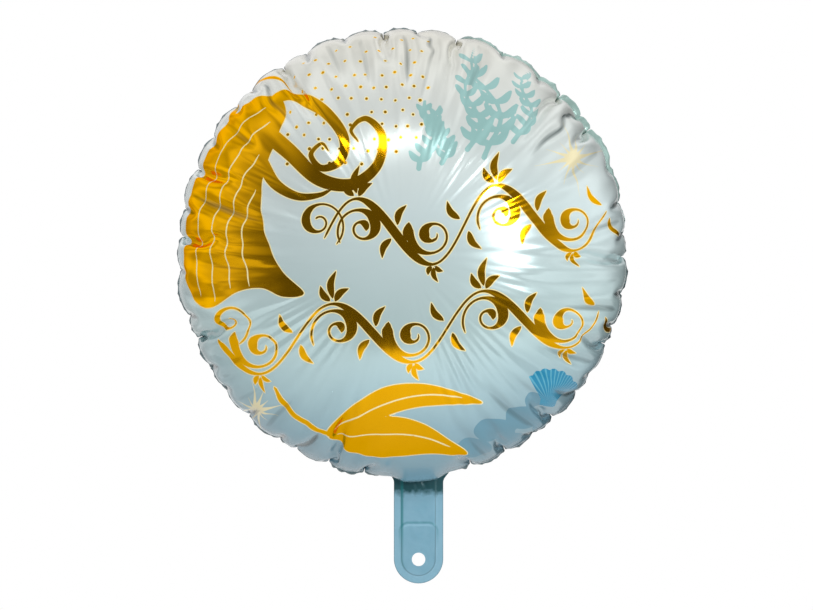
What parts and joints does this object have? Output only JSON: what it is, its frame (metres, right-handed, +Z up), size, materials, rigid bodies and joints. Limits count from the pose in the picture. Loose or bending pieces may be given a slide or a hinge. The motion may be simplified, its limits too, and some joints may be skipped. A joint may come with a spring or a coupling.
{
  "type": "round foil balloon",
  "caption": "Round pillow-shaped balloon of metallised film, filled, with a printed front, a flat filling tail with a punched hole and a self-sealing film valve.",
  "frame": {"origin": "middle of the neck on the seam plane, where the tail folds and a ribbon is tied", "axes": "+Z up the neck into the filled disc, -Y the printed front, +X to the right seen from the front; the disc leans 4 degrees towards -X about the neck and the tail hangs along -Z"},
  "size_m": [0.3456, 0.201, 0.4272],
  "materials": {
    "printed_film": "gloss",
    "tail_film": "gloss",
    "back_film": "gloss",
    "weld_band": "gloss",
    "valve_film": "satin"
  },
  "bodies": {
    "envelope": {"front_panel": "printed_film", "back_panel": "back_film", "rim_weld": "weld_band", "neck_front_ply": "tail_film", "neck_back_ply": "back_film", "neck_side_welds": "weld_band", "valve_neck_front_film": "valve_film", "valve_neck_back_film": "valve_film", "valve_neck_side_welds": "valve_film", "valve_collar_welds": "valve_film"},
    "tail_upper": {"tail_upper_front_ply": "tail_film", "tail_upper_back_ply": "back_film", "tail_upper_side_welds": "weld_band", "valve_duct_front_film": "valve_film", "valve_duct_back_film": "valve_film", "valve_duct_side_welds": "valve_film", "valve_inlet_welds": "valve_film"},
    "tail_end": {"tail_end_front_ply": "tail_film", "tail_end_back_ply": "back_film", "tail_end_weld": "weld_band"},
    "front_lip": {"valve_front_lip": "valve_film"},
    "back_lip": {"valve_back_lip": "valve_film"}
  },
  "joints": [
    {"name": "neck_fold", "type": "hinge", "parent": "envelope", "child": "tail_upper", "pos_m": [0, 0, 0], "axis": [1, 0, 0], "range_deg": [-80, 80]},
    {"name": "tail_fold", "type": "hinge", "parent": "tail_upper", "child": "tail_end", "pos_m": [0, 0, -0.0295], "axis": [1, 0, 0], "range_deg": [-50, 50]},
    {"name": "front_lip_open", "type": "hinge", "parent": "envelope", "child": "front_lip", "pos_m": [0, 0, 0.01803], "axis": [1, 0, 0], "range_deg": [0, 11], "stiffness_Nm_per_rad": 0.0001},
    {"name": "back_lip_open", "type": "hinge", "parent": "envelope", "child": "back_lip", "pos_m": [0, 0, 0.01803], "axis": [-1, 0, 0], "range_deg": [0, 11], "stiffness_Nm_per_rad": 0.0001}
  ],
  "couplings": [
    {"joint": "back_lip_open", "follows": "front_lip_open", "ratio": 1}
  ]
}
